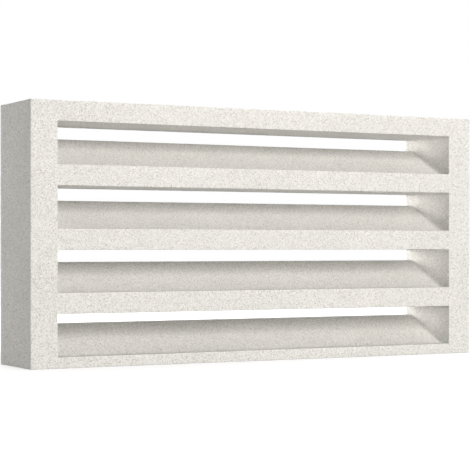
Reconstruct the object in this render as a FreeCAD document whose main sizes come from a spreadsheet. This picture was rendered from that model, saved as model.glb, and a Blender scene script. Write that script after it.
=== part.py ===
"""Decorative screen block: one piece of cast concrete with louvre slots right through its thickness.

The block stands on its long narrow bed face. The origin is the middle of that face, +X runs along the
block, +Y from the front face to the back and +Z up. Sizes are in millimetres.
"""

import FreeCAD, Part
import Sketcher
import enum
import math
import os

NODE = "screen_block"

# Driving dimensions: alias, value, what it measures
DIMENSIONS = [
    ("block_length", 500, "overall length, end face to end face"),
    ("block_depth", 80, "overall thickness, front face to back face"),
    ("end_border", 27, "solid concrete beside the slots, at each end"),
    ("bottom_rail", 10.5, "front of the rail under the lowest slot"),
    ("top_rail", 19.5, "rail above the highest slot"),
    ("slot_count", 4, "number of slots, one above the other"),
    ("slot_mouth", 40, "height of a slot at the front face"),
    ("rail_height", 20, "front of the rail between two slots"),
    ("rear_gap", 12, "height of a slot at the back face"),
    ("sill_depth", 14, "level sill at the front of the slot floor"),
    ("crest_depth", 11, "level crest at the back of the slot floor, from its corner with the ramp"),
    ("shoulder_radius", 18, "rounding where the ramp turns into the crest"),
    ("arris_radius", 0.6, "rounding of the outer edges and of the slot mouths"),
]

# Sizes worked out from the driving dimensions
SLOT_PITCH = "(sizes.slot_mouth + sizes.rail_height)"
SLOT_TRAVEL = f"((sizes.slot_count - 1) * {SLOT_PITCH})"
BLOCK_HEIGHT = f"(sizes.bottom_rail + {SLOT_TRAVEL} + sizes.slot_mouth + sizes.top_rail)"
SLOT_LENGTH = "(sizes.block_length - 2 * sizes.end_border)"

LENGTH_TOLERANCE = 1e-4
VOLUME_TOLERANCE = 1e-6
CUBIC_MM_PER_LITRE = 1e6


class SketchNumber(enum.IntEnum):
    """Numbers by which a sketch refers to the ends of a line or an arc, and to its own axes."""
    START = 1
    END = 2
    HORIZONTAL_AXIS = -1
    VERTICAL_AXIS = -2


START = SketchNumber.START
END = SketchNumber.END
ORIGIN = (SketchNumber.HORIZONTAL_AXIS, START)


def make_sheet(doc):
    """Puts the driving dimensions in a spreadsheet, each cell with its alias."""
    sheet = doc.addObject("Spreadsheet::Sheet", "sizes")
    for row, (alias, value, meaning) in enumerate(DIMENSIONS, start=1):
        sheet.set(f"A{row}", str(value))
        sheet.setAlias(f"A{row}", alias)
        sheet.set(f"B{row}", meaning)
    doc.recompute()
    return sheet


def origin_feature(body, role):
    """Returns one of the body's own origin planes or axes."""
    return next(feature for feature in body.Origin.OriginFeatures if feature.Role == role)


def make_sketch(body, name, plane):
    """Adds an empty sketch on an origin plane of the body."""
    sketch = body.newObject("Sketcher::SketchObject", name)
    sketch.AttachmentSupport = (origin_feature(body, plane), "")
    sketch.MapMode = "FlatFace"
    return sketch


def add_line(sketch, start, end):
    """Adds a line between two points of the sketch plane and returns its number."""
    return sketch.addGeometry(Part.LineSegment(FreeCAD.Vector(*start), FreeCAD.Vector(*end)))


def relate(sketch, *rule):
    """Adds one geometric constraint."""
    sketch.addConstraint(Sketcher.Constraint(*rule))


def measure(sketch, name, kind, *references, expression):
    """Adds a named dimension that follows an expression of the sheet's cells."""
    value = sketch.evalExpression(expression)
    number = sketch.addConstraint(Sketcher.Constraint(kind, *references, float(value)))
    sketch.renameConstraint(number, name)
    sketch.setExpression(f"Constraints.{name}", expression)


def sketch_face(body):
    """Draws the block's front view: a rectangle that stands on the origin."""
    sketch = make_sketch(body, "face_outline", "XZ_Plane")
    half = sketch.evalExpression("sizes.block_length") / 2
    height = sketch.evalExpression(BLOCK_HEIGHT)
    bed = add_line(sketch, (-half, 0), (half, 0))
    right = add_line(sketch, (half, 0), (half, height))
    top = add_line(sketch, (half, height), (-half, height))
    left = add_line(sketch, (-half, height), (-half, 0))

    sides = [bed, right, top, left]
    for side, following in zip(sides, sides[1:] + sides[:1]):
        relate(sketch, "Coincident", side, END, following, START)
    for level in (bed, top):
        relate(sketch, "Horizontal", level)
    for upright in (right, left):
        relate(sketch, "Vertical", upright)
    relate(sketch, "Symmetric", bed, START, bed, END, *ORIGIN)
    measure(sketch, "length", "DistanceX", bed, START, bed, END, expression="sizes.block_length")
    measure(sketch, "height", "DistanceY", right, START, right, END, expression=BLOCK_HEIGHT)
    return sketch


def sketch_slot(body, sheet):
    """Draws the lowest slot's section: sill, ramp, rounded shoulder and crest under a level roof."""
    sketch = make_sketch(body, "slot_section", "YZ_Plane")
    front = -sheet.block_depth / 2
    back = sheet.block_depth / 2
    floor = sheet.bottom_rail
    ceiling = floor + sheet.slot_mouth
    ledge = ceiling - sheet.rear_gap
    radius = sheet.shoulder_radius
    foot = FreeCAD.Vector(front + sheet.sill_depth, floor)
    corner = FreeCAD.Vector(back - sheet.crest_depth, ledge)

    # The shoulder meets the ramp and the crest at equal distances from their corner
    slope = math.atan2(corner.y - foot.y, corner.x - foot.x)
    tangent = radius * math.tan(slope / 2)
    shoulder_foot = corner - FreeCAD.Vector(math.cos(slope), math.sin(slope)) * tangent
    shoulder_head = corner + FreeCAD.Vector(tangent, 0)
    upright_angle = math.pi / 2

    sill = add_line(sketch, (front, floor), foot)
    ramp = add_line(sketch, foot, shoulder_foot)
    circle = Part.Circle(shoulder_head - FreeCAD.Vector(0, radius), FreeCAD.Vector(0, 0, 1), radius)
    shoulder = sketch.addGeometry(Part.ArcOfCircle(circle, upright_angle, upright_angle + slope))
    crest = add_line(sketch, shoulder_head, (back, ledge))
    rear = add_line(sketch, (back, ledge), (back, ceiling))
    roof = add_line(sketch, (back, ceiling), (front, ceiling))
    mouth = add_line(sketch, (front, ceiling), (front, floor))
    ramp_corner = sketch.addGeometry(Part.Point(corner), True)

    for side, following in ((crest, rear), (rear, roof), (roof, mouth), (mouth, sill), (sill, ramp)):
        relate(sketch, "Coincident", side, END, following, START)
    relate(sketch, "Tangent", ramp, END, shoulder, END)
    relate(sketch, "Tangent", crest, START, shoulder, START)
    for level in (sill, crest):
        relate(sketch, "Horizontal", level)
    for upright in (rear, mouth):
        relate(sketch, "Vertical", upright)
    relate(sketch, "Symmetric", roof, START, roof, END, SketchNumber.VERTICAL_AXIS)
    for line in (ramp, crest):
        relate(sketch, "PointOnObject", ramp_corner, START, line)

    measure(sketch, "floor_level", "DistanceY", *ORIGIN, sill, START, expression="sizes.bottom_rail")
    measure(sketch, "mouth_height", "DistanceY", mouth, END, mouth, START, expression="sizes.slot_mouth")
    measure(sketch, "gap_height", "DistanceY", rear, START, rear, END, expression="sizes.rear_gap")
    measure(sketch, "depth", "DistanceX", roof, END, roof, START, expression="sizes.block_depth")
    measure(sketch, "sill_run", "DistanceX", sill, START, sill, END, expression="sizes.sill_depth")
    measure(sketch, "crest_run", "DistanceX", ramp_corner, START, crest, END, expression="sizes.crest_depth")
    measure(sketch, "shoulder_round", "Radius", shoulder, expression="sizes.shoulder_radius")
    return sketch


def extrude_symmetric(body, kind, name, sketch, length):
    """Adds a pad or a pocket that reaches equally to both sides of its sketch."""
    feature = body.newObject(kind, name)
    feature.Profile = sketch
    feature.Type = "Length"
    feature.SideType = "Symmetric"
    feature.setExpression("Length", length)
    return feature


def repeat_upwards(body, name, original):
    """Repeats the lowest slot up the block at the slot pitch."""
    pattern = body.newObject("PartDesign::LinearPattern", name)
    pattern.Originals = [original]
    pattern.Direction = (origin_feature(body, "Z_Axis"), [""])
    pattern.Mode = "Extent"
    pattern.setExpression("Length", SLOT_TRAVEL)
    pattern.setExpression("Occurrences", "sizes.slot_count")
    body.Tip = pattern
    return pattern


def lies_in(edge, axis, levels):
    """Tells whether an edge lies in one of the planes at these levels of an axis."""
    points = [getattr(vertex, axis) for vertex in edge.Vertexes]
    return any(all(abs(point - level) < LENGTH_TOLERANCE for point in points) for level in levels)


def outer_edges(shape):
    """Names the edges of the front, back and end faces: the outer arrises and the slot mouths."""
    box = shape.BoundBox
    ends = (box.XMin, box.XMax)
    faces = (box.YMin, box.YMax)
    names = []
    for number, edge in enumerate(shape.Edges, start=1):
        if lies_in(edge, "X", ends) or lies_in(edge, "Y", faces):
            names.append(f"Edge{number}")
    return names


def round_arrises(body, name, base):
    """Rounds the sharp outer edges as they come out of a mould."""
    fillet = body.newObject("PartDesign::Fillet", name)
    fillet.Base = (base, outer_edges(base.Shape))
    fillet.setExpression("Radius", "sizes.arris_radius")
    body.Tip = fillet
    return fillet


def check_cut(blank, slots, sketch, sheet):
    """Stops unless the slots took away exactly their section times their length."""
    section = Part.Face(Part.Wire(Part.sortEdges(sketch.Shape.Edges)[0])).Area
    removed = section * sketch.evalExpression(SLOT_LENGTH) * sheet.slot_count
    left = blank.Shape.Volume - removed
    if abs(slots.Shape.Volume - left) > VOLUME_TOLERANCE * left:
        raise RuntimeError(f"the slots leave {slots.Shape.Volume:.0f} cubic mm and not {left:.0f}")


def check_document(doc, body):
    """Stops on a failed feature, a loose sketch or a solid that isn't whole."""
    for item in doc.Objects:
        if "Invalid" in item.State or "Error" in item.State:
            raise RuntimeError(f"{item.Name} failed: {item.State}")
        if item.isDerivedFrom("Sketcher::SketchObject") and not item.FullyConstrained:
            raise RuntimeError(f"{item.Name} isn't fully constrained")
    shape = body.Shape
    if shape.isNull() or not shape.isValid() or len(shape.Solids) != 1:
        raise RuntimeError(f"{body.Label} isn't one valid solid")


def main():
    doc = FreeCAD.newDocument(NODE)
    sheet = make_sheet(doc)
    body = doc.addObject("PartDesign::Body", "block")
    body.Label = NODE

    face = sketch_face(body)
    blank = extrude_symmetric(body, "PartDesign::Pad", "blank", face, "sizes.block_depth")
    section = sketch_slot(body, sheet)
    slot = extrude_symmetric(body, "PartDesign::Pocket", "lowest_slot", section, SLOT_LENGTH)
    slots = repeat_upwards(body, "louvre_slots", slot)
    doc.recompute()
    check_cut(blank, slots, section, sheet)
    round_arrises(body, "arrises", slots)
    doc.recompute()
    check_document(doc, body)

    os.makedirs("parts", exist_ok=True)
    body.Shape.exportStep(f"parts/{body.Label}.step")
    box = body.Shape.BoundBox
    print(f"{body.Label}: {box.XLength:.2f} x {box.YLength:.2f} x {box.ZLength:.2f} mm,"
          f" {body.Shape.Volume / CUBIC_MM_PER_LITRE:.3f} litres, {len(body.Shape.Faces)} faces")


main()
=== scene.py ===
"""Looks of a decorative screen block: one piece of cast white concrete with four louvre slots.

Two Geometry Nodes trees cast the block from the sizes in the panel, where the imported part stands.
Lengths are in metres, the origin is the middle of the bed face and +Y points to the back.
"""

import math
import typing

import bpy
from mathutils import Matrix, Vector


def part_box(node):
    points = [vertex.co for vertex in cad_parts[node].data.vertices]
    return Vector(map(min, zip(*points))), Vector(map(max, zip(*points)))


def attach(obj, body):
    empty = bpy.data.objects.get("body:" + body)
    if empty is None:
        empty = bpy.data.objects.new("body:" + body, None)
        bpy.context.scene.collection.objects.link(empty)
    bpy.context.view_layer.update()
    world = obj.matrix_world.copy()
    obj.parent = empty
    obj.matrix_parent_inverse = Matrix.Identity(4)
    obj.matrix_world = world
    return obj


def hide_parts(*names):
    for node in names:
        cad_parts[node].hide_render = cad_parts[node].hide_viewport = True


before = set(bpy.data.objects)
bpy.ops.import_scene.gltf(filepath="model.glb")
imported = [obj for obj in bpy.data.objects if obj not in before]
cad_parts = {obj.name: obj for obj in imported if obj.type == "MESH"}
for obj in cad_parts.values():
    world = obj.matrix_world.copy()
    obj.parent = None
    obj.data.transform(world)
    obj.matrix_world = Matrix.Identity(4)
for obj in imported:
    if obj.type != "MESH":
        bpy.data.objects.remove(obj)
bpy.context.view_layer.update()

bl_info = {
    "name": "Decorative screen block",
    "version": (1, 0, 0),
    "blender": (4, 5, 0),
    "location": "3D View > Sidebar > Screen block",
    "description": "Casts a louvred concrete screen block and sets it up in a plain studio",
    "category": "Add Mesh",
}

# Names in the imported part, and the visual piece's own name
BODY = "root"
NODE = "screen_block"
PIECE = "concrete_block"

# Kinds of node that the trees use again and again
MATH = "ShaderNodeMath"
VECTOR_MATH = "ShaderNodeVectorMath"
COMBINE = "ShaderNodeCombineXYZ"
SEPARATE = "ShaderNodeSeparateXYZ"
MAP_RANGE = "ShaderNodeMapRange"
NOISE = "ShaderNodeTexNoise"
INDEX = "GeometryNodeInputIndex"
POSITION = "GeometryNodeInputPosition"
DOMAIN_SIZE = "GeometryNodeAttributeDomainSize"
SAMPLE = "GeometryNodeSampleIndex"
STORE = "GeometryNodeStoreNamedAttribute"
ATTRIBUTE = "GeometryNodeInputNamedAttribute"

MM = 0.001
WHITE = (1.0, 1.0, 1.0, 1.0)

# Mesh of the block
WELD = 0.01 * MM                    # points closer than this are one point
SHARP_TURN = math.radians(45)       # an edge that turns more than this is an arris
ROUNDED_TURN = math.radians(8)      # and one that turns more than this lies on a rounded arris
ANY_EDGE = 0.1                      # a point with more than this share of such edges is on an arris
HALF_STEP = 0.5                     # tells a whole number from the next
RAMP_HEAD = 2                       # number of the slot profile's point where the ramp meets the crest
SHOULDER_POINTS = 5
ARRIS_SEGMENTS = 2
FLAT_FACE_WEIGHT = 100

# Limits of Map Range nodes: value from, value to, result from, result to
CRUMBLED_SPOTS = (0.5, 0.75, 0.0, 1.0)
FINE_SHADES = (0.25, 0.75, 0.97, 1.03)
CLOUD_SHADES = (0.3, 0.7, 0.98, 1.02)
GRAIN_ROUGHNESS = (0.0, 0.7, 0.84, 0.95)

# Camera: level, a little under mid-height, to the left of the block
CAMERA_PLACE = (-0.78092, -1.41291, 0.11372)
CAMERA_TURN = (math.radians(90), 0.0, math.radians(-28.49))
CAMERA_LENS_MM = 121.436
CAMERA_SENSOR_MM = 36.0
CAMERA_SHIFT_UP = 0.02428

FLOOR_SIZE = 12.0


class Lamp(typing.NamedTuple):
    """A rectangular lamp: where it stands, its size, the point that it faces and the angle of its light."""
    place: tuple
    width: float
    height: float
    aim: tuple = (0.0, 0.0, 0.12)
    spread: float = math.radians(180)


# Lamps, by the names that their powers have in the panel
LAMPS = {
    "key": Lamp((0.1, -1.7, 0.77), 0.8, 0.65),
    "front_fill": Lamp((0.0, -2.6, 0.35), 1.6, 0.5),
    "end_fill": Lamp((-1.5, 0.8, 0.26), 0.8, 0.4),
    "slot_strip": Lamp((-0.21, 0.16, 0.15), 0.08, 0.24, aim=(0.223, 0.04, 0.13), spread=math.radians(30)),
    "back_fill": Lamp((-0.1, 1.3, 0.3), 0.6, 0.5),
    "right_fill": Lamp((1.6, 0.4, 0.5), 0.8, 0.6),
    "top_fill": Lamp((0.6, -0.1, 1.9), 0.8, 0.5),
}

node_low, node_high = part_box(NODE)


def linear(code):
    """Turns an sRGB hex colour into the linear RGBA that the shaders work in."""
    channels = [int(code[place:place + 2], 16) / 255 for place in (1, 3, 5)]
    light = [c / 12.92 if c <= 0.04045 else ((c + 0.055) / 1.055) ** 2.4 for c in channels]
    return (*light, 1.0)


def metres(name, description, default):
    """A length for the panel."""
    return bpy.props.FloatProperty(name=name, description=description, default=default, min=0,
                                   precision=4, unit="LENGTH")


def colour(name, description, code):
    """A colour for the panel, from its sRGB hex code."""
    return bpy.props.FloatVectorProperty(name=name, description=description, default=linear(code),
                                         size=4, min=0, max=1, subtype="COLOR")


def watts(name, description, default):
    """The power of a lamp for the panel."""
    return bpy.props.FloatProperty(name=name, description=description, default=default, min=0,
                                   unit="POWER")


def share(name, description, default):
    """A share from 0 to 1 for the panel."""
    return bpy.props.FloatProperty(name=name, description=description, default=default, min=0, max=1,
                                   subtype="FACTOR")


def whole(name, description, default):
    """A whole number for the panel."""
    return bpy.props.IntProperty(name=name, description=description, default=default, min=1)


class BlockSizes(bpy.types.PropertyGroup):
    """Sizes of the block, as the mould gives them"""
    length: metres("Length", "End face to end face", node_high.x - node_low.x)
    depth: metres("Depth", "Front face to back face", node_high.y - node_low.y)
    height: metres("Height", "Bed face to top face", node_high.z - node_low.z)
    end_border: metres("End border", "Solid concrete beside the slots, at each end", 27 * MM)
    bottom_rail: metres("Bottom rail", "Front of the rail under the lowest slot", 10.5 * MM)
    slot_count: whole("Slots", "Slots, one above the other", 4)
    slot_mouth: metres("Slot mouth", "Height of a slot at the front face", 40 * MM)
    rail_height: metres("Rail", "Front of the rail between two slots", 20 * MM)
    rear_gap: metres("Rear gap", "Height of a slot at the back face", 12 * MM)
    sill_depth: metres("Sill", "Level sill at the front of the slot floor", 14 * MM)
    crest_depth: metres("Crest", "Level crest at the back of the slot floor", 11 * MM)
    shoulder_radius: metres("Shoulder radius", "Rounding where the ramp turns into the crest", 18 * MM)
    arris_radius: metres("Arris radius", "Rounding of the outer edges and the slot mouths", 0.6 * MM)
    cell: metres("Cell", "Spacing of the mesh that carries the cast relief", 3.2 * MM)
    relief: metres("Relief", "Depth of the shallow unevenness of the cast faces", 0.12 * MM)
    relief_width: metres("Relief width", "Width of the shallow hollows of the cast faces", 60 * MM)
    wear: metres("Arris wear", "Depth of the crumbled spots along the arrises", 0.25 * MM)
    wear_width: metres("Wear width", "Width of a crumbled spot", 9 * MM)
    seed: whole("Seed", "Seed of the relief and the wear", 7)


class ConcreteFinish(bpy.types.PropertyGroup):
    """Colours and grain of the concrete"""
    pale_sand: colour("Pale sand", "Lightest grains of sand", "#FEFEFD")
    cement: colour("Cement", "White cement, and the grains as pale as it", "#EDECEA")
    dark_sand: colour("Dark sand", "Darkest grains of sand", "#AFADA9")
    dark_share: share("Dark share", "Share of the grains that are darker than the cement", 0.4)
    grain: metres("Grain", "Width of a grain of sand at the surface", 0.5 * MM)
    fines: metres("Fines", "Width of the finest grains in the cement", 0.35 * MM)
    grit: metres("Grit", "How far the finest grains stand proud", 0.06 * MM)
    cloud: metres("Clouds", "Width of the pale and dull clouds in the cement", 70 * MM)


class Studio(bpy.types.PropertyGroup):
    """Light and backdrop"""
    key: watts("Key", "Lamp above the front, which shades the ramps", 19.3)
    front_fill: watts("Front fill", "Wide lamp low in front", 16.0)
    end_fill: watts("End fill", "Low lamp beside the left end, towards the back", 9.1)
    slot_strip: watts("Slot strip", "Narrow lamp close behind, for the right ends of the slots", 0.058)
    back_fill: watts("Back fill", "Lamp behind the block", 9.8)
    right_fill: watts("Right fill", "Lamp beside the right end", 5.8)
    top_fill: watts("Top fill", "Lamp high above the right end", 16.0)
    lamp_tone: colour("Lamp tone", "White of the lamps, a touch warm", "#FFFCF6")
    ambient: share("Ambient", "Light from all round", 0.05)
    floor: colour("Floor", "Paper floor, a touch cool under the warm lamps", "#A3A3A5")
    floor_glow: share("Floor glow", "White that the camera sees on the floor near the block", 0.63)
    fade_start: metres("Fade start", "How far from the block the floor begins to fade to white", 0.05)
    fade_end: metres("Fade end", "How far from the block the floor is as white as the backdrop", 0.36)


def add_node(tree, kind, *inputs, named=None, **settings):
    """Adds a node with its settings. Its inputs are values, or the sockets and nodes they come from."""
    node = tree.nodes.new(kind)
    for name, value in settings.items():
        setattr(node, name, value)
    for key, value in [*enumerate(inputs), *(named or {}).items()]:
        source = value.outputs[0] if isinstance(value, bpy.types.Node) else value
        if isinstance(source, bpy.types.NodeSocket):
            tree.links.new(source, node.inputs[key])
        else:
            node.inputs[key].default_value = source
    return node


def new_tree(name, sockets):
    """Starts a Geometry Nodes tree with a geometry in and out and these named inputs."""
    tree = bpy.data.node_groups.new(name, "GeometryNodeTree")
    tree.interface.new_socket("Geometry", in_out="INPUT", socket_type="NodeSocketGeometry")
    for socket, kind in sockets:
        tree.interface.new_socket(socket, in_out="INPUT", socket_type=kind)
    tree.interface.new_socket("Geometry", in_out="OUTPUT", socket_type="NodeSocketGeometry")
    return tree


def open_line(tree, stops):
    """Open curve of straight runs through four points."""
    line = add_node(tree, "GeometryNodeCurvePrimitiveQuadrilateral", mode="POINTS",
                    named={f"Point {number}": stop for number, stop in enumerate(stops, 1)})
    return add_node(tree, "GeometryNodeSetSplineCyclic", line, True, False)


def stations_along(tree, half_length, slot_end):
    """Curve along the block, with points at the ends of the block and of the slots."""
    left_end = add_node(tree, MATH, half_length, -1, operation="MULTIPLY")
    left_slot_end = add_node(tree, MATH, slot_end, -1, operation="MULTIPLY")
    stops = [add_node(tree, COMBINE, x) for x in (left_end, left_slot_end, slot_end, half_length)]
    return open_line(tree, stops)


def stations_up(tree, given, pitch):
    """Curve up the block, with points at the bed, at each slot's floor and roof, and at the top.

    Its attribute "pull" is 1 at the slot floors, which rise towards the back, and 0 at what stays level.
    """
    index = add_node(tree, INDEX)
    floors_and_roofs = add_node(tree, MATH, given["Slot Count"], 2, operation="MULTIPLY")
    last = add_node(tree, MATH, floors_and_roofs, 1, operation="ADD")
    count = add_node(tree, MATH, last, 1, operation="ADD")
    above_bed = add_node(tree, MATH, index, HALF_STEP, operation="GREATER_THAN")
    at_top = add_node(tree, MATH, index, last, HALF_STEP, operation="COMPARE")
    below_top = add_node(tree, MATH, 1, at_top, operation="SUBTRACT")
    at_slots = add_node(tree, MATH, above_bed, below_top, operation="MULTIPLY")

    # Between bed and top, floors and roofs take turns
    step = add_node(tree, MATH, index, 1, operation="SUBTRACT")
    slot = add_node(tree, MATH, step, 2, operation="DIVIDE")
    slot = add_node(tree, MATH, slot, operation="FLOOR")
    at_roof = add_node(tree, MATH, step, 2, operation="FLOORED_MODULO")
    at_floor = add_node(tree, MATH, at_slots, at_roof, operation="SUBTRACT")
    at_floor = add_node(tree, MATH, at_floor, 0, operation="MAXIMUM")

    level = add_node(tree, MATH, slot, pitch, given["Bottom Rail"], operation="MULTIPLY_ADD")
    level = add_node(tree, MATH, at_roof, given["Slot Mouth"], level, operation="MULTIPLY_ADD")
    top = add_node(tree, MATH, given["Height"], at_top, operation="MULTIPLY")
    level = add_node(tree, MATH, level, at_slots, top, operation="MULTIPLY_ADD")
    place = add_node(tree, COMBINE, 0.0, 0.0, level)
    line = add_node(tree, "GeometryNodeMeshLine", count)
    line = add_node(tree, "GeometryNodeMeshToCurve", line)
    line = add_node(tree, "GeometryNodeSetPosition", line, True, place)
    return add_node(tree, STORE, line, True, "pull", at_floor, data_type="FLOAT", domain="POINT")


def slot_profile(tree, given, front, back):
    """Curve through the block that climbs as a slot's floor does: sill, ramp, rounded shoulder, crest."""
    ramp_foot = add_node(tree, MATH, front, given["Sill"], operation="ADD")
    ramp_head = add_node(tree, MATH, back, given["Crest"], operation="SUBTRACT")
    rise = add_node(tree, MATH, given["Slot Mouth"], given["Rear Gap"], operation="SUBTRACT")
    stops = [add_node(tree, COMBINE, 0.0, y, z)
             for y, z in ((front, 0.0), (ramp_foot, 0.0), (ramp_head, rise), (back, rise))]
    profile = open_line(tree, stops)
    index = add_node(tree, INDEX)
    at_ramp_head = add_node(tree, MATH, index, RAMP_HEAD, HALF_STEP, operation="COMPARE")
    rounding = add_node(tree, MATH, at_ramp_head, given["Shoulder Radius"], operation="MULTIPLY")
    return add_node(tree, "GeometryNodeFilletCurve", profile, mode="POLY",
                    named={"Count": SHOULDER_POINTS, "Radius": rounding})


def cut_to_cells(tree, line, cell):
    """Cuts a curve's runs, so that none is longer than a cell."""
    position = add_node(tree, POSITION)
    following = add_node(tree, MATH, add_node(tree, INDEX), 1, operation="ADD")
    following = add_node(tree, "GeometryNodeFieldAtIndex", data_type="FLOAT_VECTOR", domain="POINT",
                         named={"Value": position, "Index": following})
    run = add_node(tree, VECTOR_MATH, position, following, operation="DISTANCE").outputs["Value"]
    cells = add_node(tree, MATH, run, cell, operation="DIVIDE")
    cells = add_node(tree, MATH, cells, operation="CEIL")
    cuts = add_node(tree, MATH, cells, 1, operation="SUBTRACT")
    return add_node(tree, "GeometryNodeSubdivideCurve", line, cuts)


def station_grid(tree, front, columns, rows):
    """Grid in the front plane, whose lines pass through the stations along and up the block."""
    index = add_node(tree, INDEX)
    position = add_node(tree, POSITION)
    pull = add_node(tree, ATTRIBUTE, "pull", data_type="FLOAT")
    column_count, row_count = [add_node(tree, DOMAIN_SIZE, line, component="CURVE")
                               for line in (columns, rows)]
    grid = add_node(tree, "GeometryNodeMeshGrid",
                    named={"Vertices X": column_count, "Vertices Y": row_count})
    column = add_node(tree, MATH, index, HALF_STEP, operation="ADD")
    column = add_node(tree, MATH, column, row_count, operation="DIVIDE")
    column = add_node(tree, MATH, column, operation="FLOOR")
    row = add_node(tree, MATH, index, row_count, operation="FLOORED_MODULO")
    column_place = add_node(tree, SAMPLE, columns, data_type="FLOAT_VECTOR",
                            named={"Value": position, "Index": column})
    row_place = add_node(tree, SAMPLE, rows, data_type="FLOAT_VECTOR",
                         named={"Value": position, "Index": row})
    row_pull = add_node(tree, SAMPLE, rows, data_type="FLOAT", named={"Value": pull, "Index": row})
    place = add_node(tree, VECTOR_MATH, column_place, row_place, operation="ADD")
    front_plane = add_node(tree, COMBINE, 0.0, front, 0.0)
    place = add_node(tree, VECTOR_MATH, place, front_plane, operation="ADD")
    grid = add_node(tree, STORE, grid, True, "pull", row_pull, data_type="FLOAT", domain="POINT")
    return add_node(tree, "GeometryNodeSetPosition", grid, True, place)


def inside_slots(tree, given, slot_end, pitch):
    """1 for the cells of the front that lie in a slot's mouth, and 0 for the others."""
    place = add_node(tree, SEPARATE, add_node(tree, POSITION)).outputs
    off_middle = add_node(tree, MATH, place["X"], operation="ABSOLUTE")
    above_sill = add_node(tree, MATH, place["Z"], given["Bottom Rail"], operation="SUBTRACT")
    in_pitch = add_node(tree, MATH, above_sill, pitch, operation="FLOORED_MODULO")
    slots_high = add_node(tree, MATH, given["Slot Count"], pitch, operation="MULTIPLY")
    inside = add_node(tree, MATH, above_sill, 0, operation="GREATER_THAN")
    for value, limit in ((off_middle, slot_end), (in_pitch, given["Slot Mouth"]), (above_sill, slots_high)):
        below = add_node(tree, MATH, value, limit, operation="LESS_THAN")
        inside = add_node(tree, MATH, inside, below, operation="MULTIPLY")
    return inside


def carried_back(tree, face, sections):
    """The front face turned round and carried from section to section, its slot floors rising."""
    position = add_node(tree, POSITION)
    pull = add_node(tree, ATTRIBUTE, "pull", data_type="FLOAT")
    sheet = add_node(tree, "GeometryNodeFlipFaces", face)
    sheet = add_node(tree, STORE, sheet, True, "sheet", True, data_type="BOOLEAN", domain="FACE")
    section_count = add_node(tree, DOMAIN_SIZE, sections, component="CURVE")
    steps = add_node(tree, MATH, section_count, 1, operation="SUBTRACT")
    loop_end = add_node(tree, "GeometryNodeRepeatOutput")
    loop = add_node(tree, "GeometryNodeRepeatInput")
    loop.pair_with_output(loop_end)
    tree.links.new(steps.outputs[0], loop.inputs["Iterations"])
    tree.links.new(sheet.outputs[0], loop.inputs["Geometry"])

    turn = loop.outputs["Iteration"]
    next_turn = add_node(tree, MATH, turn, 1, operation="ADD")
    here, there = [add_node(tree, SAMPLE, sections, data_type="FLOAT_VECTOR",
                            named={"Value": position, "Index": number}) for number in (turn, next_turn)]
    stride = add_node(tree, VECTOR_MATH, there, here, operation="SUBTRACT")
    stride = add_node(tree, SEPARATE, stride).outputs
    backwards = add_node(tree, COMBINE, 0.0, stride["Y"], 0.0)
    climb = add_node(tree, MATH, pull, stride["Z"], operation="MULTIPLY")
    climb = add_node(tree, COMBINE, 0.0, 0.0, climb)
    is_sheet = add_node(tree, ATTRIBUTE, "sheet", data_type="BOOLEAN")
    carried = add_node(tree, "GeometryNodeExtrudeMesh", loop.outputs["Geometry"], is_sheet, backwards,
                       1.0, False, mode="FACES")
    moved = add_node(tree, STORE, carried, True, "sheet", carried.outputs["Top"],
                     data_type="BOOLEAN", domain="FACE")
    moved = add_node(tree, "GeometryNodeSetPosition", moved, is_sheet, named={"Offset": climb})
    tree.links.new(moved.outputs[0], loop_end.inputs["Geometry"])
    return loop_end


def louvre_tree():
    """Tree that draws the block's front as a grid, leaves the slots open and carries it through the depth.

    The grid's lines pass through stations: along the block the ends of the block and of the slots, up
    the block the bed, each slot's floor and roof, and the top. On the way to the back the floors follow
    the slot profile, while the roofs stay level.
    """
    sizes = ("Length", "Depth", "Height", "End Border", "Bottom Rail", "Slot Mouth", "Rail Height",
             "Rear Gap", "Sill", "Crest", "Shoulder Radius", "Cell")
    tree = new_tree("Louvre block", [(name, "NodeSocketFloat") for name in sizes]
                    + [("Slot Count", "NodeSocketInt"), ("Concrete", "NodeSocketMaterial")])
    given = add_node(tree, "NodeGroupInput").outputs
    half_length = add_node(tree, MATH, given["Length"], 2, operation="DIVIDE")
    slot_end = add_node(tree, MATH, half_length, given["End Border"], operation="SUBTRACT")
    pitch = add_node(tree, MATH, given["Slot Mouth"], given["Rail Height"], operation="ADD")
    back = add_node(tree, MATH, given["Depth"], 2, operation="DIVIDE")
    front = add_node(tree, MATH, back, -1, operation="MULTIPLY")

    # Front face and what lies behind it
    lines = (stations_along(tree, half_length, slot_end), stations_up(tree, given, pitch),
             slot_profile(tree, given, front, back))
    columns, rows, sections = [cut_to_cells(tree, line, given["Cell"]) for line in lines]
    grid = station_grid(tree, front, columns, rows)
    mouths = inside_slots(tree, given, slot_end, pitch)
    face = add_node(tree, "GeometryNodeDeleteGeometry", grid, mouths, domain="FACE")
    rest = carried_back(tree, face, sections)

    # Closed body, with its arrises marked for the rounding
    block = add_node(tree, "GeometryNodeJoinGeometry")
    for part in (face, rest):
        tree.links.new(part.outputs[0], block.inputs[0])
    block = add_node(tree, "GeometryNodeMergeByDistance", block, True, WELD)
    bend = add_node(tree, "GeometryNodeInputMeshEdgeAngle").outputs["Signed Angle"]
    is_arris = add_node(tree, MATH, bend, SHARP_TURN, operation="GREATER_THAN")
    block = add_node(tree, STORE, block, True, "bevel_weight_edge", is_arris,
                     data_type="FLOAT", domain="EDGE")
    for name in ("pull", "sheet"):
        block = add_node(tree, "GeometryNodeRemoveAttribute", block, name)
    block = add_node(tree, "GeometryNodeRealizeInstances", block)
    block = add_node(tree, "GeometryNodeSetMaterial", block, True, given["Concrete"])
    add_node(tree, "NodeGroupOutput", block)
    return tree


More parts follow.
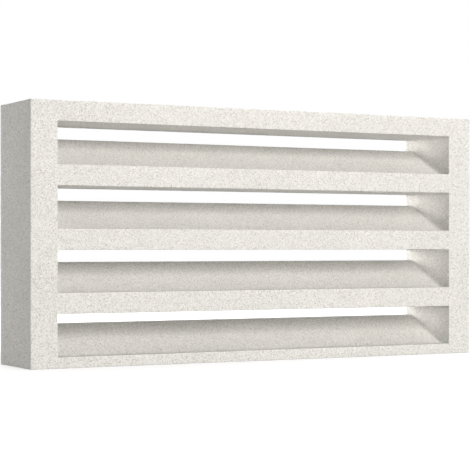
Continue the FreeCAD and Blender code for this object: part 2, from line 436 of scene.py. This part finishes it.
def cast_surface_tree():
    """Tree that sinks the faces a little where the mould was uneven and crumbles spots of the arrises."""
    sizes = ("Relief", "Relief Width", "Wear", "Wear Width", "Seed")
    tree = new_tree("Cast surface", [(name, "NodeSocketFloat") for name in sizes]
                    + [("Concrete", "NodeSocketMaterial")])
    given = add_node(tree, "NodeGroupInput").outputs
    hollows, spots = [
        add_node(tree, NOISE, noise_dimensions="4D", named={
            "W": given["Seed"], "Detail": 2.0,
            "Scale": add_node(tree, MATH, 1, given[width], operation="DIVIDE")})
        for width in ("Relief Width", "Wear Width")]
    sunk = add_node(tree, MATH, hollows, given["Relief"], operation="MULTIPLY")
    bend = add_node(tree, "GeometryNodeInputMeshEdgeAngle").outputs["Signed Angle"]
    is_rounded = add_node(tree, MATH, bend, ROUNDED_TURN, operation="GREATER_THAN")
    is_rounded = add_node(tree, "GeometryNodeFieldOnDomain", is_rounded, data_type="FLOAT", domain="EDGE")
    on_arris = add_node(tree, MATH, is_rounded, ANY_EDGE, operation="GREATER_THAN")
    crumbled = add_node(tree, MAP_RANGE, spots, *CRUMBLED_SPOTS)
    crumbled = add_node(tree, MATH, crumbled, on_arris, operation="MULTIPLY")
    depth = add_node(tree, MATH, crumbled, given["Wear"], sunk, operation="MULTIPLY_ADD")
    outwards = add_node(tree, "GeometryNodeInputNormal")
    inwards = add_node(tree, MATH, depth, -1, operation="MULTIPLY")
    inwards = add_node(tree, VECTOR_MATH, outwards, operation="SCALE", named={"Scale": inwards})
    block = add_node(tree, "GeometryNodeSetPosition", given["Geometry"], named={"Offset": inwards})
    block = add_node(tree, "GeometryNodeSetShadeSmooth", block, True, True)
    block = add_node(tree, "GeometryNodeRealizeInstances", block)
    block = add_node(tree, "GeometryNodeSetMaterial", block, True, given["Concrete"])
    add_node(tree, "NodeGroupOutput", block)
    return tree


def add_tree(piece, tree, values):
    """Puts a tree on a piece and sets its inputs by the sockets' identifiers."""
    modifier = piece.modifiers.new(tree.name, "NODES")
    modifier.node_group = tree
    for socket in tree.interface.items_tree:
        if socket.in_out == "INPUT" and socket.name in values:
            modifier[socket.identifier] = values[socket.name]


def bare_nodes(holder):
    """Gives a material or a world an empty node tree."""
    holder.use_nodes = True
    holder.node_tree.nodes.clear()
    return holder.node_tree


def cast_concrete(finish):
    """White concrete cast in a smooth mould: chalky and dull, with sand of many pale tones at its skin."""
    material = bpy.data.materials.new("cast white concrete")
    tree = bare_nodes(material)
    place = add_node(tree, "ShaderNodeTexCoord").outputs["Object"]

    # Sand: every grain is a cell with a tone of its own
    grains = add_node(tree, "ShaderNodeTexVoronoi", named={"Vector": place, "Scale": 1 / finish.grain})
    tone = add_node(tree, "ShaderNodeSeparateColor", grains.outputs["Color"])
    sand = add_node(tree, "ShaderNodeValToRGB", tone)
    stops = sand.color_ramp.elements
    stops.new(finish.dark_share)
    for stop, shade in zip(stops, (finish.dark_sand, finish.cement, finish.pale_sand)):
        stop.color = shade

    # Cement: finest grains, and wide clouds that are a little paler or duller
    fines = add_node(tree, NOISE, named={"Vector": place, "Scale": 1 / finish.fines, "Detail": 1.0})
    clouds = add_node(tree, NOISE, named={"Vector": place, "Scale": 1 / finish.cloud, "Detail": 3.0})
    fine_shade = add_node(tree, MAP_RANGE, fines, *FINE_SHADES)
    cloud_shade = add_node(tree, MAP_RANGE, clouds, *CLOUD_SHADES)
    shade = add_node(tree, MATH, fine_shade, cloud_shade, operation="MULTIPLY")
    skin = add_node(tree, VECTOR_MATH, sand, operation="SCALE", named={"Scale": shade})

    # Touch: the finest grains stand a little proud, and the cement is rougher than the sand's grains
    rough = add_node(tree, MAP_RANGE, grains.outputs["Distance"], *GRAIN_ROUGHNESS)
    bump = add_node(tree, "ShaderNodeBump", named={
        "Strength": 0.3, "Distance": finish.grit, "Height": fines})
    shader = add_node(tree, "ShaderNodeBsdfPrincipled", named={
        "Base Color": skin, "Roughness": rough, "IOR": 1.5, "Specular IOR Level": 0.2, "Normal": bump})
    add_node(tree, "ShaderNodeOutputMaterial", shader)
    return material


def seen_by_camera(tree):
    """1 for what the camera sees, straight or in a gloss, and 0 for the light that falls on the block."""
    rays = add_node(tree, "ShaderNodeLightPath").outputs
    seen = add_node(tree, MATH, rays["Is Camera Ray"], rays["Is Glossy Ray"], operation="MAXIMUM")
    return add_node(tree, MATH, seen, rays["Is Transmission Ray"], operation="MAXIMUM")


def paper_floor(studio):
    """Matt paper: it takes the block's shadow, and further off it fades to the white of the backdrop."""
    material = bpy.data.materials.new("matt paper floor")
    tree = bare_nodes(material)
    place = add_node(tree, "ShaderNodeTexCoord").outputs["Object"]
    off_middle = add_node(tree, VECTOR_MATH, place, operation="ABSOLUTE")
    past_foot = add_node(tree, VECTOR_MATH, off_middle, (node_high.x, node_high.y, 0.0),
                         operation="SUBTRACT")
    past_foot = add_node(tree, VECTOR_MATH, past_foot, (0.0, 0.0, 0.0), operation="MAXIMUM")
    away = add_node(tree, VECTOR_MATH, past_foot, operation="LENGTH").outputs["Value"]
    white = add_node(tree, MAP_RANGE, away, studio.fade_start, studio.fade_end, studio.floor_glow, 1.0,
                     interpolation_type="SMOOTHSTEP")
    glow = add_node(tree, MATH, white, seen_by_camera(tree), operation="MULTIPLY")
    shader = add_node(tree, "ShaderNodeBsdfPrincipled", named={
        "Base Color": studio.floor, "Roughness": 0.9, "Emission Color": WHITE, "Emission Strength": glow})
    add_node(tree, "ShaderNodeOutputMaterial", shader)
    return material


def white_backdrop(studio):
    """World that the camera sees as white, and that lights the block only a little."""
    world = bpy.data.worlds.new("white backdrop")
    tree = bare_nodes(world)
    strength = add_node(tree, MAP_RANGE, seen_by_camera(tree), 0.0, 1.0, studio.ambient, 1.0)
    backdrop = add_node(tree, "ShaderNodeBackground", WHITE, strength)
    add_node(tree, "ShaderNodeOutputWorld", backdrop)
    return world


def link(thing):
    """Puts an object in the scene."""
    bpy.context.scene.collection.objects.link(thing)
    return thing


class CastBlock(bpy.types.Operator):
    """Casts the concrete block from the sizes in the panel"""
    bl_idname = "screen_block.cast"
    bl_label = "Cast block"

    def execute(self, context):
        sizes = context.scene.block_sizes
        concrete = cast_concrete(context.scene.concrete_finish)
        mould = link(bpy.data.objects.new("block mould", bpy.data.meshes.new("block mould")))
        add_tree(mould, louvre_tree(), {
            "Length": sizes.length, "Depth": sizes.depth, "Height": sizes.height,
            "End Border": sizes.end_border, "Bottom Rail": sizes.bottom_rail,
            "Slot Mouth": sizes.slot_mouth, "Rail Height": sizes.rail_height, "Rear Gap": sizes.rear_gap,
            "Sill": sizes.sill_depth, "Crest": sizes.crest_depth, "Shoulder Radius": sizes.shoulder_radius,
            "Cell": sizes.cell, "Slot Count": sizes.slot_count, "Concrete": concrete})
        rounding = mould.modifiers.new("arrises", "BEVEL")
        rounding.limit_method = "WEIGHT"
        rounding.width = sizes.arris_radius
        rounding.segments = ARRIS_SEGMENTS
        rounding.use_clamp_overlap = False
        add_tree(mould, cast_surface_tree(), {
            "Relief": sizes.relief, "Relief Width": sizes.relief_width, "Wear": sizes.wear,
            "Wear Width": sizes.wear_width, "Seed": float(sizes.seed), "Concrete": concrete})
        mould.modifiers.new("flat faces", "WEIGHTED_NORMAL").weight = FLAT_FACE_WEIGHT

        cast = bpy.data.meshes.new_from_object(mould.evaluated_get(context.evaluated_depsgraph_get()))
        if not cast.polygons:
            raise RuntimeError("the block's trees made no faces")
        cast.name = PIECE
        bpy.data.objects.remove(mould)
        block = link(bpy.data.objects.new(PIECE, cast))
        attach(block, BODY)
        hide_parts(NODE)
        return {"FINISHED"}


class SetStage(bpy.types.Operator):
    """Sets the floor, the backdrop, the lamps and the camera round the block"""
    bl_idname = "screen_block.set_stage"
    bl_label = "Set stage"

    def execute(self, context):
        scene = context.scene
        studio = scene.studio
        scene.view_settings.view_transform = "Standard"

        # Floor and backdrop
        scene.world = white_backdrop(studio)
        bpy.ops.mesh.primitive_plane_add(size=FLOOR_SIZE)
        floor = context.object
        floor.name = "floor"
        floor.data.materials.append(paper_floor(studio))

        # Lamps
        for name, lamp in LAMPS.items():
            light = bpy.data.lights.new(name, "AREA")
            light.shape = "RECTANGLE"
            light.size = lamp.width
            light.size_y = lamp.height
            light.spread = lamp.spread
            light.energy = getattr(studio, name)
            light.color = studio.lamp_tone[:3]
            holder = link(bpy.data.objects.new(name, light))
            holder.location = lamp.place
            towards = Vector(lamp.aim) - Vector(lamp.place)
            holder.rotation_euler = towards.to_track_quat("-Z", "Y").to_euler()
            holder.visible_camera = False

        # Camera
        lens = bpy.data.cameras.new("camera")
        lens.sensor_width = CAMERA_SENSOR_MM
        lens.lens = CAMERA_LENS_MM
        lens.shift_y = CAMERA_SHIFT_UP
        camera = link(bpy.data.objects.new("camera", lens))
        camera.location = CAMERA_PLACE
        camera.rotation_euler = CAMERA_TURN
        scene.camera = camera
        return {"FINISHED"}


class ScreenBlockPanel(bpy.types.Panel):
    """Sizes, finish and studio of the screen block"""
    bl_idname = "VIEW3D_PT_screen_block"
    bl_label = "Screen block"
    bl_space_type = "VIEW_3D"
    bl_region_type = "UI"
    bl_category = "Screen block"

    def draw(self, context):
        for group in (context.scene.block_sizes, context.scene.concrete_finish, context.scene.studio):
            column = self.layout.column(align=True)
            for name in group.__annotations__:
                column.prop(group, name)
        self.layout.operator(CastBlock.bl_idname)
        self.layout.operator(SetStage.bl_idname)


GROUPS = {"block_sizes": BlockSizes, "concrete_finish": ConcreteFinish, "studio": Studio}
CLASSES = (*GROUPS.values(), CastBlock, SetStage, ScreenBlockPanel)


def register():
    for item in CLASSES:
        bpy.utils.register_class(item)
    for name, group in GROUPS.items():
        setattr(bpy.types.Scene, name, bpy.props.PointerProperty(type=group))


def unregister():
    for name in GROUPS:
        delattr(bpy.types.Scene, name)
    for item in reversed(CLASSES):
        bpy.utils.unregister_class(item)


def main():
    register()
    bpy.ops.screen_block.cast()
    bpy.ops.screen_block.set_stage()


if __name__ == "__main__":
    main()
